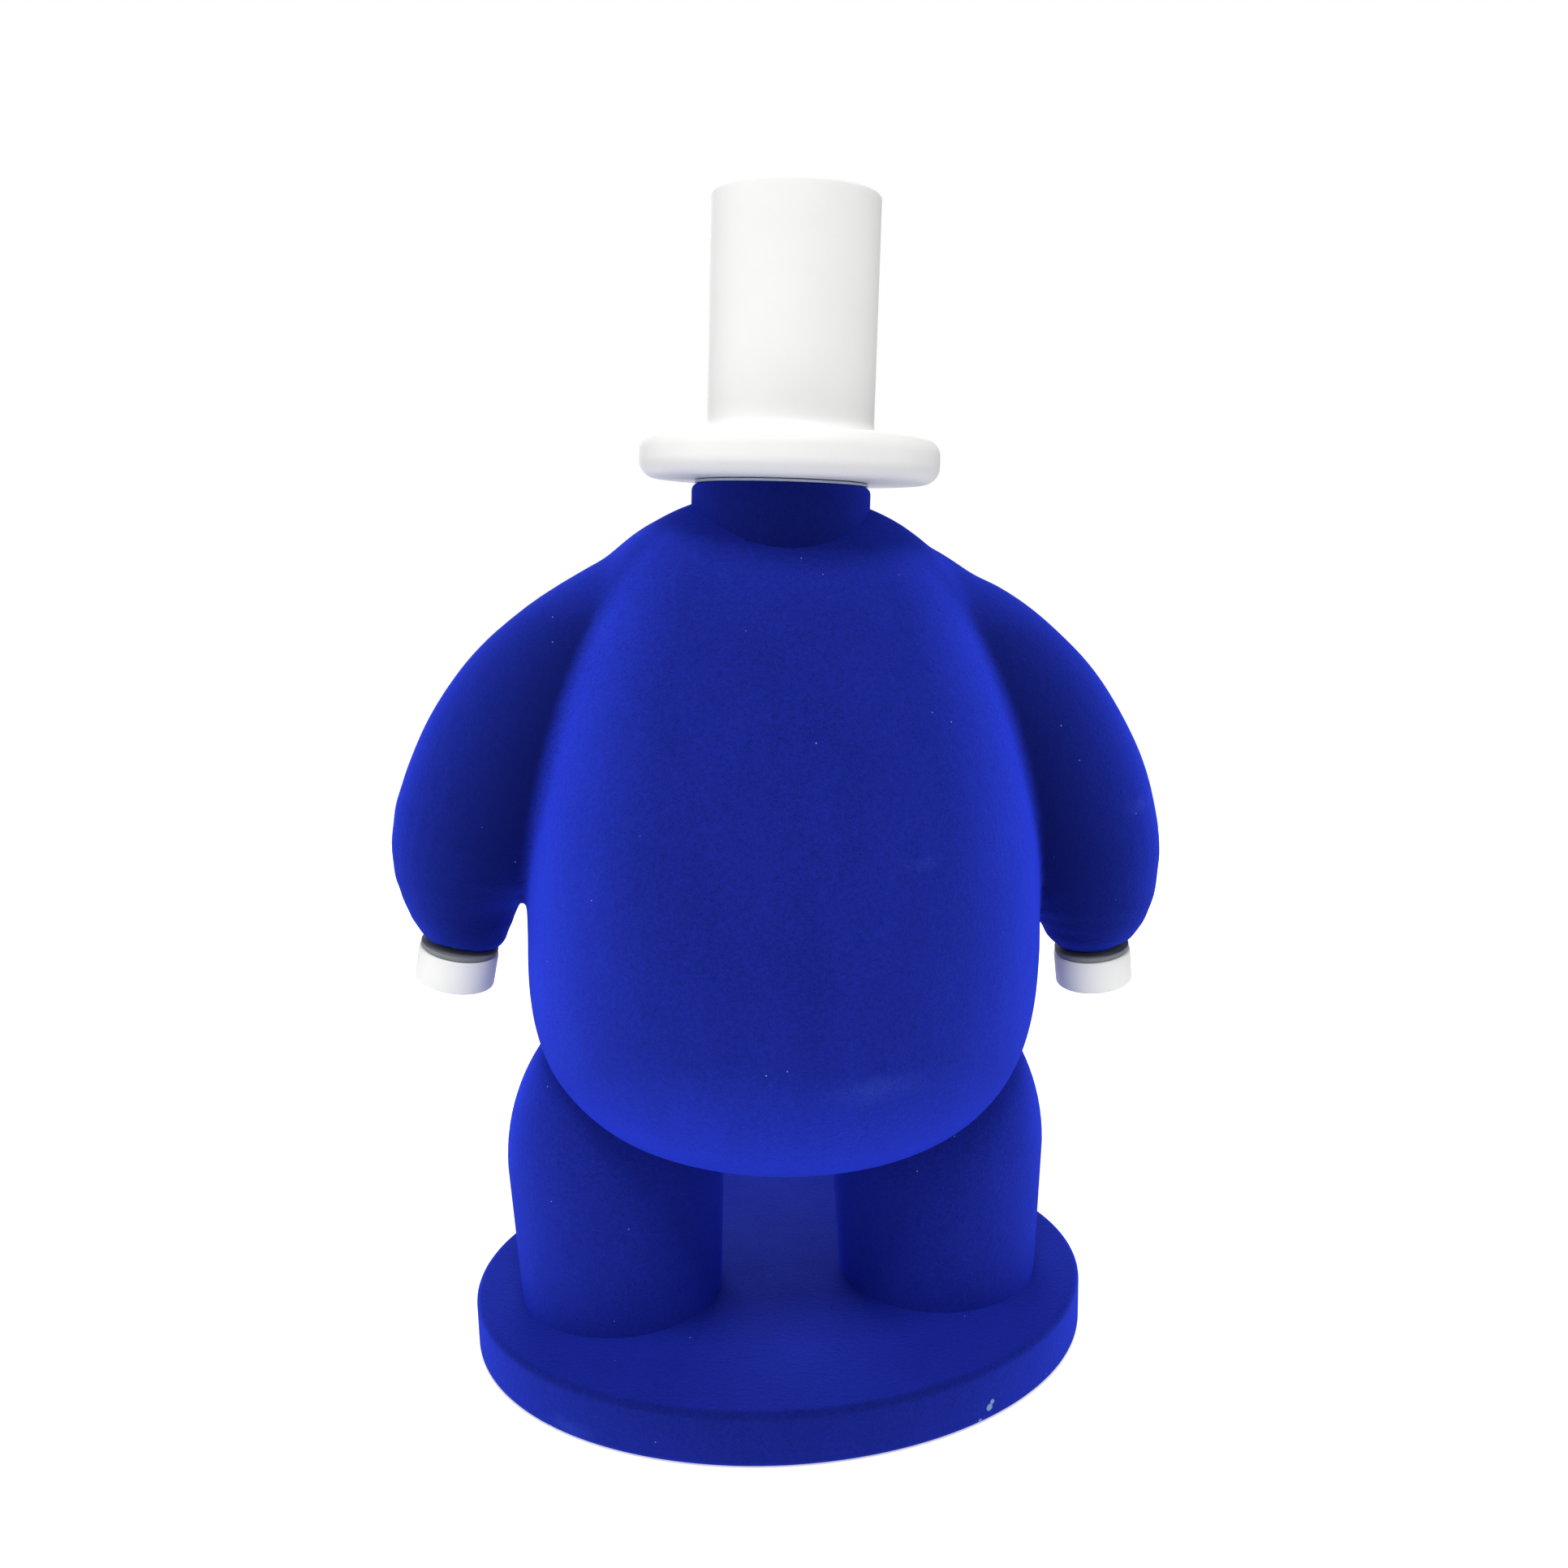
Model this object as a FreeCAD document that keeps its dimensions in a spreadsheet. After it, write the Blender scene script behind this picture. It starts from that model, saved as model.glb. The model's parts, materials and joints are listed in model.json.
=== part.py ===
import FreeCAD, Part
import math
import os

import Sketcher
from FreeCAD import Placement, Rotation, Vector

# A stout flocked figure on an oval board, with a tall white hat and two white hand stubs.
# Millimetres. The origin is the centre of the board's underside, +Z is up and the belly
# faces -Y. The figure above the hips is made upright in a frame of its own, whose origin is
# between the hips, and is then leaned a little to +X and +Y as one.

os.makedirs("parts", exist_ok=True)
doc = FreeCAD.newDocument("flocked_figure")

SIZES = [
    ("board_half_width", 83.8, "oval board, half of its long axis"),
    ("board_half_depth", 68.4, "oval board, half of its short axis"),
    ("board_thickness", 14.4, "oval board"),
    ("board_edge_round", 1.8, "upper and lower rim of the board"),
    ("leg_spread", 43.8, "leg centre from the middle plane"),
    ("leg_forward", 4.0, "leg centre in front of the board's centre"),
    ("foot_radius", 27.2, "leg at the board"),
    ("calf_radius", 29.0, "leg at its thickest"),
    ("calf_height", 38.0, "thickest place above the board"),
    ("leg_crown_radius", 16.0, "flat on top of the leg's dome"),
    ("leg_crown_height", 74.0, "top of the leg's dome above the board"),
    ("leg_dome_radius", 55.7, "arc between the calf and the flat"),
    ("hip_shift_right", 0.4, "figure frame's origin"),
    ("hip_shift_forward", 5.0, "figure frame's origin"),
    ("hip_height", 69.4, "figure frame's origin above the underside"),
    ("lean_right", 3.0, "degrees, the figure's lean to +X"),
    ("lean_back", 2.3, "degrees, the figure's lean to +Y"),
    ("torso_half_width", 67.2, "at the waist"),
    ("torso_half_depth", 57.0, "at the waist"),
    ("torso_forward", 2.0, "torso's axis in front of the figure's axis"),
    ("torso_top_left", 4.0, "drift of the torso's axis to -X from the waist to the top"),
    ("waist_height", 43.0, "widest level, in the figure frame"),
    ("torso_rise", 115.0, "from the widest level to the top"),
    ("torso_drop", 58.0, "from the widest level to the bottom"),
    ("chest_width_power", 2.45, "roundness of the upper outline seen from the front"),
    ("chest_depth_power", 1.68, "roundness of the upper outline seen from the side"),
    ("belly_power", 2.8, "roundness of the lower outline"),
    ("arm_back", 3.0, "arm centre line behind the figure's axis"),
    ("left_wrist_across", 84.6, "end of the arm, from the figure's axis"),
    ("left_wrist_height", 39.7, "end of the arm, in the figure frame"),
    ("right_wrist_across", 85.6, "end of the arm, from the figure's axis"),
    ("right_wrist_height", 39.2, "end of the arm, in the figure frame"),
    ("wrist_radius", 8.4, "flat end of the arm"),
    ("hand_splay", 9.5, "degrees, wrist axis outwards"),
    ("hand_tuck", 7.0, "degrees, wrist axis backwards"),
    ("neck_left", 3.5, "neck axis from the figure's axis"),
    ("hat_left", 1.6, "hat axis from the figure's axis, so the hat sits off-centre"),
    ("neck_forward", 0.9, "neck and hat axes in front of the figure's axis"),
    ("neck_bottom", 128.0, "in the figure frame"),
    ("neck_top", 159.7, "in the figure frame"),
    ("neck_radius", 22.6, "neck below its rounded rim"),
    ("neck_rim_round", 2.0, "arc between the flat and the side"),
    ("ring_radius", 21.9, "thin ring between the neck and the brim"),
    ("ring_bore_radius", 8.0, "clears the peg"),
    ("ring_thickness", 0.6, "thin ring"),
    ("brim_gap", 0.25, "running gap between the ring and the brim"),
    ("brim_radius", 37.8, "hat"),
    ("brim_thickness", 10.0, "hat"),
    ("brim_round", 3.0, "hat, both rims of the brim"),
    ("crown_radius", 21.0, "hat"),
    ("crown_foot_round", 3.0, "hollow arc between brim and crown"),
    ("crown_top_round", 0.9, "hat, top rim"),
    ("hat_height", 68.8, "hat, underside of the brim to the top"),
    ("hat_bore_depth", 31.0, "blind bore for the peg"),
    ("hat_peg_radius", 5.95, "dowel peg"),
    ("hat_peg_bottom", 132.0, "in the figure frame"),
    ("hat_peg_chamfer", 0.8, "both ends of the peg"),
    ("running_clearance", 0.05, "radial, between a pin and its bore"),
    ("neck_bush_radius", 8.0, "outside of the bush"),
    ("neck_bush_length", 28.0, "bush"),
    ("washer_radius", 10.0, "grey washer at the wrist"),
    ("washer_thickness", 1.2, "grey washer"),
    ("hand_gap", 0.25, "running gap between washer and stub"),
    ("hand_radius", 10.3, "white stub"),
    ("hand_length", 9.1, "white stub"),
    ("hand_round", 0.6, "rims of the stub"),
    ("wrist_pin_radius", 3.0, "pin glued into the stub"),
    ("wrist_pin_length", 24.0, "pin"),
    ("wrist_pin_in_hand", 6.0, "pin's glued end"),
    ("wrist_bush_radius", 4.5, "outside of the bush"),
    ("wrist_bush_length", 17.0, "bush"),
    ("dowel_radius", 4.0, "glued dowels of limbs and torso"),
    ("dowel_length", 32.0, "glued dowels"),
    ("screw_head_radius", 4.2, "countersunk screws under the board"),
    ("screw_radius", 2.2, "screw shank"),
    ("screw_length", 42.0, "head face to tip"),
    ("screw_inset", 1.2, "head face below the board's underside"),
    ("screw_spacing", 26.0, "two screws to a leg"),
    ("screw_slot_width", 1.0, "driving slot"),
    ("screw_slot_depth", 1.2, "driving slot"),
]

# Round sections of the arm from the shoulder to the wrist, in the figure frame:
# distance from the middle plane, height, radius.
ARM_STATIONS = [
    (24.0, 134.0, 17.5),
    (40.0, 119.0, 22.3),
    (55.0, 105.5, 24.5),
    (68.0, 89.5, 25.0),
    (77.5, 74.0, 22.8),
    (82.5, 58.0, 19.5),
    (83.6, 47.5, 15.0),
]
for station, measures in enumerate(ARM_STATIONS, start=1):
    for measure, value in zip(("across", "height", "radius"), measures):
        SIZES.append((f"arm_{measure}_{station}x", value, f"arm section {station}"))

sizes = doc.addObject("Spreadsheet::Sheet", "sizes")
for row, (alias, value, note) in enumerate(SIZES, start=1):
    sizes.set(f"A{row}", alias)
    sizes.set(f"B{row}", str(value))
    sizes.set(f"C{row}", note)
    sizes.setAlias(f"B{row}", alias)
doc.recompute()

nodes = []


def size(alias):
    return float(sizes.get(alias))


def worth(expression):
    """Number that a sheet expression stands for."""
    result = sizes.evalExpression(str(expression))
    return float(getattr(result, "Value", result))


def bind(thing, **expressions):
    """Bind properties of a document object to sheet expressions."""
    for name, expression in expressions.items():
        thing.setExpression(name, expression)
    return thing


def node(thing, label):
    """Give a finished sub-part its name and list it for the checks and the export."""
    thing.Label = label
    nodes.append(thing)
    return thing


def origin_plane(body, role):
    return next(feature for feature in body.Origin.OriginFeatures if feature.Role == role)


def new_sketch(body, role, name):
    sketch = body.newObject("Sketcher::SketchObject", name)
    sketch.AttachmentSupport = (origin_plane(body, role), [""])
    sketch.MapMode = "FlatFace"
    return sketch


def arc_between(start, end, radius, turn):
    """Arc from start to end; turn is 1 when it runs counter-clockwise and -1 when clockwise."""
    chord = end - start
    middle = (start + end) * 0.5
    reach = math.sqrt(max(radius * radius - chord.Length ** 2 / 4, 0))
    side = Vector(-chord.y, chord.x, 0).normalize() * turn
    centre = middle + side * reach
    circle = Part.Circle(centre, Vector(0, 0, 1), radius)
    first, last = (start, end) if turn > 0 else (end, start)
    return Part.ArcOfCircle(circle, circle.parameter(first), circle.parameter(last))


def draw_outline(sketch, corners):
    """Closed outline. A corner is (across, up) when a straight edge leaves it, and
    (across, up, radius, turn) when an arc does. All but the turn are sheet expressions."""
    points = [Vector(worth(corner[0]), worth(corner[1]), 0) for corner in corners]
    starts = []
    ends = []
    for index, corner in enumerate(corners):
        start = points[index]
        end = points[(index + 1) % len(points)]
        if len(corner) == 2:
            edge = sketch.addGeometry(Part.LineSegment(start, end), False)
            starts.append((edge, 1))
            ends.append((edge, 2))
            continue
        radius, turn = corner[2:]
        edge = sketch.addGeometry(arc_between(start, end, worth(radius), turn), False)
        starts.append((edge, 1) if turn > 0 else (edge, 2))
        ends.append((edge, 2) if turn > 0 else (edge, 1))
    for index in range(len(corners)):
        following = starts[(index + 1) % len(corners)]
        sketch.addConstraint(Sketcher.Constraint("Coincident", *ends[index], *following))
    for index, corner in enumerate(corners):
        pin_point(sketch, starts[index], corner[0], corner[1])
        if len(corner) == 4:
            edge = starts[index][0]
            number = worth(corner[2])
            place = sketch.addConstraint(Sketcher.Constraint("Radius", edge, number))
            sketch.setExpression(f"Constraints[{place}]", corner[2])


def pin_point(sketch, point, across, up):
    """Fix a point of the outline at a pair of sheet expressions."""
    for kind, axis, expression in (("DistanceX", -2, across), ("DistanceY", -1, up)):
        if expression == "0":
            sketch.addConstraint(Sketcher.Constraint("PointOnObject", *point, axis))
            continue
        rule = Sketcher.Constraint(kind, -1, 1, *point, worth(expression))
        place = sketch.addConstraint(rule)
        sketch.setExpression(f"Constraints[{place}]", expression)


def turned(name, corners):
    """Body turned about its own Z axis from an outline in its XZ plane."""
    body = doc.addObject("PartDesign::Body", name)
    sketch = new_sketch(body, "XZ_Plane", name + "_outline")
    draw_outline(sketch, corners)
    turn = body.newObject("PartDesign::Revolution", name + "_turn")
    turn.Profile = sketch
    turn.ReferenceAxis = (sketch, ["V_Axis"])
    turn.Angle = 360
    return body


def tube(name, outer, inner, length):
    return turned(name, [(inner, "0"), (outer, "0"), (outer, length), (inner, length)])


def rod(name, radius, length, place):
    """Plain cylinder, used for dowels and as a drill."""
    cylinder = bind(doc.addObject("Part::Cylinder", name), Radius=radius, Height=length)
    cylinder.Placement = place
    return cylinder


def boolean(kind, name, base, tool):
    result = doc.addObject("Part::" + kind, name)
    result.Base = base
    result.Tool = tool
    return result


def joined(name, parts):
    result = doc.addObject("Part::MultiFuse", name)
    result.Shapes = parts
    return result


def grouped(name, parts):
    """Separate solids that share one node."""
    result = doc.addObject("Part::Compound", name)
    result.Links = parts
    return result


def towards(direction):
    """Rotation that turns +Z to a direction."""
    return Rotation(Vector(0, 0, 1), direction)


def leaning_axis(right_degrees, back_degrees):
    right = math.sin(math.radians(right_degrees))
    back = math.sin(math.radians(back_degrees))
    return Vector(right, back, math.sqrt(1 - right ** 2 - back ** 2))


UPRIGHT = Rotation()
SIDES = (("left", -1), ("right", 1))

# The frame of the figure above the hips. Left and right are as seen from the front.
figure = Placement(
    Vector(size("hip_shift_right"), -size("hip_shift_forward"), size("hip_height")),
    towards(leaning_axis(size("lean_right"), size("lean_back"))),
)


def in_figure(across, back, height, rotation=UPRIGHT):
    return figure.multiply(Placement(Vector(across, back, height), rotation))


# Torso form: a rounded block lofted through ellipses. It is wide at the waist, its upper
# outline is an egg and its lower outline is squarer.

LEVELS = (0.98, 0.93, 0.85, 0.74, 0.6, 0.42, 0.22)


def torso_section(level, above):
    """Ellipse at a share of the way from the waist to the top or the bottom."""
    reach = "sizes.torso_rise" if above else "-sizes.torso_drop"
    width_power = "sizes.chest_width_power" if above else "sizes.belly_power"
    depth_power = "sizes.chest_depth_power" if above else "sizes.belly_power"
    ellipse = doc.addObject("Part::Ellipse", "torso_section")
    bind(
        ellipse,
        MajorRadius=f"sizes.torso_half_width * (1 - {level}^{width_power})^(1 / {width_power})",
        MinorRadius=f"sizes.torso_half_depth * (1 - {level}^{depth_power})^(1 / {depth_power})",
    )
    height = worth(f"sizes.waist_height + {level} * {reach}")
    drift = -level * size("torso_top_left") if above else 0
    ellipse.Placement = in_figure(drift, -size("torso_forward"), height)
    return ellipse


def loft(name, sections):
    result = doc.addObject("Part::Loft", name)
    result.Sections = sections
    result.Solid = True
    return result


below_waist = [torso_section(level, False) for level in LEVELS]
waist = torso_section(0, True)
above_waist = [torso_section(level, True) for level in reversed(LEVELS)]
torso_form = loft("torso_form", below_waist + [waist] + above_waist)

# Neck axis and the parts on it, from the neck up to the hat.

def on_neck(height):
    return in_figure(-size("neck_left"), -size("neck_forward"), height)


def on_hat(height):
    return in_figure(-size("hat_left"), -size("neck_forward"), height)


neck_length = "sizes.neck_top - sizes.neck_bottom"
bush_bottom = size("neck_top") - size("neck_bush_length")
neck_form = turned("neck_form", [
    ("0", "0"),
    ("sizes.neck_radius", "0"),
    ("sizes.neck_radius", f"{neck_length} - sizes.neck_rim_round", "sizes.neck_rim_round", 1),
    ("sizes.neck_radius - sizes.neck_rim_round", neck_length),
    ("0", neck_length),
])
neck_form.Placement = on_neck(size("neck_bottom"))
neck_bush_drill = rod(
    "neck_bush_drill", "sizes.neck_bush_radius", "sizes.neck_bush_length", on_hat(bush_bottom))
node(boolean("Cut", "neck", neck_form, neck_bush_drill), "neck")

neck_bush = tube(
    "neck_bush",
    "sizes.neck_bush_radius",
    "sizes.hat_peg_radius + sizes.running_clearance",
    "sizes.neck_bush_length",
)
neck_bush.Placement = on_hat(bush_bottom)
node(neck_bush, "neck_bush")

neck_ring = tube(
    "neck_ring", "sizes.ring_radius", "sizes.ring_bore_radius", "sizes.ring_thickness")
neck_ring.Placement = on_neck(size("neck_top"))
node(neck_ring, "neck_ring")

brim_height = worth("sizes.neck_top + sizes.ring_thickness + sizes.brim_gap")
peg_bore = "sizes.hat_peg_radius + sizes.running_clearance"
hat = turned("hat", [
    (peg_bore, "0"),
    ("sizes.brim_radius - sizes.brim_round", "0", "sizes.brim_round", 1),
    ("sizes.brim_radius", "sizes.brim_round"),
    ("sizes.brim_radius", "sizes.brim_thickness - sizes.brim_round", "sizes.brim_round", 1),
    ("sizes.brim_radius - sizes.brim_round", "sizes.brim_thickness"),
    ("sizes.crown_radius + sizes.crown_foot_round", "sizes.brim_thickness",
     "sizes.crown_foot_round", -1),
    ("sizes.crown_radius", "sizes.brim_thickness + sizes.crown_foot_round"),
    ("sizes.crown_radius", "sizes.hat_height - sizes.crown_top_round",
     "sizes.crown_top_round", 1),
    ("sizes.crown_radius - sizes.crown_top_round", "sizes.hat_height"),
    ("0", "sizes.hat_height"),
    ("0", "sizes.hat_bore_depth"),
    (peg_bore, "sizes.hat_bore_depth"),
])
hat.Placement = on_hat(brim_height)
node(hat, "hat")

peg_length = (
    "sizes.neck_top + sizes.ring_thickness + sizes.brim_gap"
    " + sizes.hat_bore_depth - 1 - sizes.hat_peg_bottom"
)
hat_peg = turned("hat_peg", [
    ("0", "0"),
    ("sizes.hat_peg_radius - sizes.hat_peg_chamfer", "0"),
    ("sizes.hat_peg_radius", "sizes.hat_peg_chamfer"),
    ("sizes.hat_peg_radius", f"{peg_length} - sizes.hat_peg_chamfer"),
    ("sizes.hat_peg_radius - sizes.hat_peg_chamfer", peg_length),
    ("0", peg_length),
])
hat_peg.Placement = on_hat(size("hat_peg_bottom"))
node(hat_peg, "hat_peg")

# Oval board: a padded ellipse with rounded rims and countersunk holes from below.

board = doc.addObject("PartDesign::Body", "base_board")
board_sketch = new_sketch(board, "XY_Plane", "board_outline")
board_sketch.addGeometry(Part.Ellipse(
    Vector(0, 0, 0), size("board_half_width"), size("board_half_depth")), False)
board_sketch.exposeInternalGeometry(0)
board_sketch.addConstraint(Sketcher.Constraint("Coincident", 0, 3, -1, 1))
board_sketch.addConstraint(Sketcher.Constraint("Horizontal", 1))
for edge, half in ((1, "board_half_width"), (2, "board_half_depth")):
    rule = Sketcher.Constraint("Distance", edge, 2 * size(half))
    board_sketch.setExpression(
        f"Constraints[{board_sketch.addConstraint(rule)}]", f"2 * sizes.{half}")
board_pad = board.newObject("PartDesign::Pad", "board_pad")
board_pad.Profile = board_sketch
bind(board_pad, Length="sizes.board_thickness")
doc.recompute()
board_rims = board.newObject("PartDesign::Fillet", "board_rims")
board_rims.Base = (board_pad, ["Face1", "Face3"])
bind(board_rims, Radius="sizes.board_edge_round")
doc.recompute()

screw_sketch = new_sketch(board, "XY_Plane", "screw_places")
screw_places = [
    Vector(side * size("leg_spread"), -size("leg_forward") + end * size("screw_spacing") / 2, 0)
    for _, side in SIDES
    for end in (-1, 1)
]
for place in screw_places:
    screw_sketch.addGeometry(Part.Circle(place, Vector(0, 0, 1), size("screw_radius")), False)
holes = board.newObject("PartDesign::Hole", "screw_holes")
holes.Profile = screw_sketch
doc.recompute()
holes.ThreadType = "None"
holes.DepthType = "ThroughAll"
holes.Reversed = True
holes.HoleCutType = "Countersink"
bind(
    holes,
    Diameter="2 * sizes.screw_radius",
    HoleCutDiameter="2 * (sizes.screw_head_radius + sizes.screw_inset)",
)
holes.HoleCutCountersinkAngle = 90
node(board, "base_board")

# Screws: a countersunk head with a driving slot, a shank and a point.


def wood_screw(name, place):
    screw = turned(name, [
        ("0", "0"),
        ("sizes.screw_head_radius", "0"),
        ("sizes.screw_radius", "sizes.screw_head_radius - sizes.screw_radius"),
        ("sizes.screw_radius", "sizes.screw_length - 2 * sizes.screw_radius"),
        ("0", "sizes.screw_length"),
    ])
    slot_sketch = new_sketch(screw, "XY_Plane", name + "_slot_outline")
    across = size("screw_head_radius") + 1
    along = size("screw_slot_width") / 2
    corners = [
        Vector(-across, -along, 0),
        Vector(across, -along, 0),
        Vector(across, along, 0),
        Vector(-across, along, 0),
    ]
    for start, end in zip(corners, corners[1:] + corners[:1]):
        slot_sketch.addGeometry(Part.LineSegment(start, end), False)
    slot = screw.newObject("PartDesign::Pocket", name + "_slot")
    slot.Profile = slot_sketch
    slot.Reversed = True
    bind(slot, Length="sizes.screw_slot_depth")
    screw.Placement = place
    return screw


screws = [
    wood_screw(f"screw_{number}", Placement(
        place + Vector(0, 0, size("screw_inset")), UPRIGHT))
    for number, place in enumerate(screw_places, start=1)
]
node(grouped("base_screws", screws), "base_screws")

# Legs: turned, coped to the torso above, with pilot holes and dowel holes.


def dowel_pair(name, places):
    return [
        rod(f"{name}_{number}", "sizes.dowel_radius", "sizes.dowel_length", place)
        for number, place in enumerate(places, start=1)
    ]


LEG_DOWEL_OFFSET = 9.0
ARM_DOWEL_HEIGHTS = (78.0, 100.0)
TORSO_DOWEL_PLACES = ((38.0, 22.0), (30.0, 104.0))
half_dowel = size("dowel_length") / 2

leg_dowels = []
for name, side in SIDES:
    foot = Vector(
        side * size("leg_spread"), -size("leg_forward"), size("board_thickness"))
    leg = turned(f"{name}_leg_form", [
        ("0", "0"),
        ("sizes.foot_radius", "0"),
        ("sizes.calf_radius", "sizes.calf_height", "sizes.leg_dome_radius", 1),
        ("sizes.leg_crown_radius", "sizes.leg_crown_height"),
        ("0", "sizes.leg_crown_height"),
    ])
    leg.Placement = Placement(foot, UPRIGHT)
    pilots = [
        rod(f"{name}_pilot", "sizes.screw_radius", "sizes.screw_length",
            Placement(place + Vector(0, 0, size("screw_inset")), UPRIGHT))
        for place in screw_places
        if place.x * side > 0
    ]
    dowels = dowel_pair(f"{name}_leg_dowel", [
        Placement(foot + Vector(offset, 0, size("dowel_length") - 2), UPRIGHT)
        for offset in (-LEG_DOWEL_OFFSET, LEG_DOWEL_OFFSET)
    ])
    leg_dowels += dowels
    cutters = joined(f"{name}_leg_cutters", [torso_form] + pilots + dowels)
    node(boolean("Cut", f"{name}_leg", leg, cutters), f"{name}_leg")
node(grouped("leg_dowels", leg_dowels), "leg_dowels")

# Arms: lofted through round sections along a curve from shoulder to wrist and coped to the
# torso. The wrist frame's Z axis runs up into the arm.

arm_dowels = []
for name, side in SIDES:
    stations = [
        Vector(side * size(f"arm_across_{station}x"), size("arm_back"),
               size(f"arm_height_{station}x"))
        for station in range(1, len(ARM_STATIONS) + 1)
    ]
    wrist_centre = Vector(
        side * size(f"{name}_wrist_across"), size("arm_back"), size(f"{name}_wrist_height"))
    wrist_axis = leaning_axis(-side * size("hand_splay"), -size("hand_tuck"))
    stations.append(wrist_centre)
    sections = []
    for number, centre in enumerate(stations, start=1):
        last = number == len(stations)
        before = stations[max(number - 2, 0)]
        after = stations[min(number, len(stations) - 1)]
        direction = wrist_axis if last else before - after
        circle = doc.addObject("Part::Circle", f"{name}_arm_section")
        bind(circle, Radius="sizes.wrist_radius" if last else f"sizes.arm_radius_{number}x")
        circle.Placement = in_figure(*centre, towards(direction))
        sections.append(circle)
    arm_form = loft(f"{name}_arm_form", sections)

    wrist = in_figure(*wrist_centre, towards(wrist_axis))

    def on_wrist(height):
        return wrist.multiply(Placement(Vector(0, 0, height), UPRIGHT))

    dowels = dowel_pair(f"{name}_arm_dowel", [
        in_figure(side * (size("torso_half_width") - 4) - half_dowel, size("arm_back"),
                  height, towards(Vector(1, 0, 0)))
        for height in ARM_DOWEL_HEIGHTS
    ])
    arm_dowels += dowels
    bush_drill = rod(
        f"{name}_bush_drill", "sizes.wrist_bush_radius", "sizes.wrist_bush_length",
        on_wrist(0))
    cutters = joined(f"{name}_arm_cutters", [torso_form, bush_drill] + dowels)
    node(boolean("Cut", f"{name}_arm", arm_form, cutters), f"{name}_arm")

    bush = tube(
        f"{name}_wrist_bush",
        "sizes.wrist_bush_radius",
        "sizes.wrist_pin_radius + sizes.running_clearance",
        "sizes.wrist_bush_length",
    )
    bush.Placement = on_wrist(0)
    node(bush, f"{name}_wrist_bush")

    washer = tube(
        f"{name}_wrist_washer",
        "sizes.washer_radius",
        "sizes.wrist_pin_radius + 6 * sizes.running_clearance",
        "sizes.washer_thickness",
    )
    washer.Placement = on_wrist(-size("washer_thickness"))
    node(washer, f"{name}_wrist_washer")

    hand_top = worth("-(sizes.washer_thickness + sizes.hand_gap)")
    hand = turned(f"{name}_hand_stub", [
        ("0", "0"),
        ("sizes.hand_radius - sizes.hand_round", "0", "sizes.hand_round", 1),
        ("sizes.hand_radius", "sizes.hand_round"),
        ("sizes.hand_radius", "sizes.hand_length - sizes.hand_round", "sizes.hand_round", 1),
        ("sizes.hand_radius - sizes.hand_round", "sizes.hand_length"),
        ("sizes.wrist_pin_radius", "sizes.hand_length"),
        ("sizes.wrist_pin_radius", "sizes.hand_length - sizes.wrist_pin_in_hand"),
        ("0", "sizes.hand_length - sizes.wrist_pin_in_hand"),
    ])
    hand.Placement = on_wrist(hand_top - size("hand_length"))
    node(hand, f"{name}_hand_stub")

    pin = rod(
        f"{name}_wrist_pin", "sizes.wrist_pin_radius", "sizes.wrist_pin_length",
        on_wrist(hand_top - size("wrist_pin_in_hand")))
    node(pin, f"{name}_wrist_pin")
node(grouped("arm_dowels", arm_dowels), "arm_dowels")

# Torso: two blocks glued front to rear, with dowels across the seam, a socket for the neck
# and holes for the dowels of the limbs.

torso_dowels = dowel_pair("torso_dowel", [
    in_figure(side * across, -size("torso_forward") - half_dowel, height,
              towards(Vector(0, 1, 0)))
    for across, height in TORSO_DOWEL_PLACES
    for _, side in SIDES
])
node(grouped("torso_dowels", torso_dowels), "torso_dowels")
neck_drill = rod("neck_drill", "sizes.neck_radius", neck_length, on_neck(size("neck_bottom")))
torso_cutters = joined(
    "torso_cutters", [neck_drill] + torso_dowels + arm_dowels + leg_dowels)

for name, back in (("front", -1), ("rear", 1)):
    half = doc.addObject("Part::Box", f"{name}_half_space")
    bind(
        half,
        Length="4 * sizes.torso_half_width",
        Width="2 * sizes.torso_half_depth",
        Height="2 * sizes.torso_rise + 2 * sizes.torso_drop",
    )
    near_side = -2 * size("torso_half_depth") if back < 0 else 0
    half.Placement = in_figure(
        -2 * size("torso_half_width"), near_side - size("torso_forward"),
        size("waist_height") - 2 * size("torso_drop"))
    block_form = boolean("Common", f"torso_{name}_form", torso_form, half)
    block = boolean("Cut", f"torso_{name}_block", block_form, torso_cutters)
    node(block, f"torso_{name}_block")

doc.recompute()

for thing in doc.Objects:
    if "Invalid" in thing.State or "Error" in thing.State:
        raise RuntimeError(f"{thing.Name} did not compute: {thing.State}")
for thing in nodes:
    shape = thing.Shape
    if shape.isNull() or not shape.isValid() or not shape.Solids:
        raise RuntimeError(f"{thing.Label} has no valid solid")
    box = shape.BoundBox
    print(f"{thing.Label:20s} solids {len(shape.Solids)}  volume {shape.Volume / 1000:9.2f} cm3"
          f"  z {box.ZMin:7.2f} to {box.ZMax:7.2f}")
    shape.exportStep(f"parts/{thing.Label}.step")
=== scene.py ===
import json
import math
from collections import namedtuple

import bpy
from bpy.props import FloatProperty, FloatVectorProperty, IntProperty, PointerProperty
from mathutils import Matrix, Vector


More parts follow.
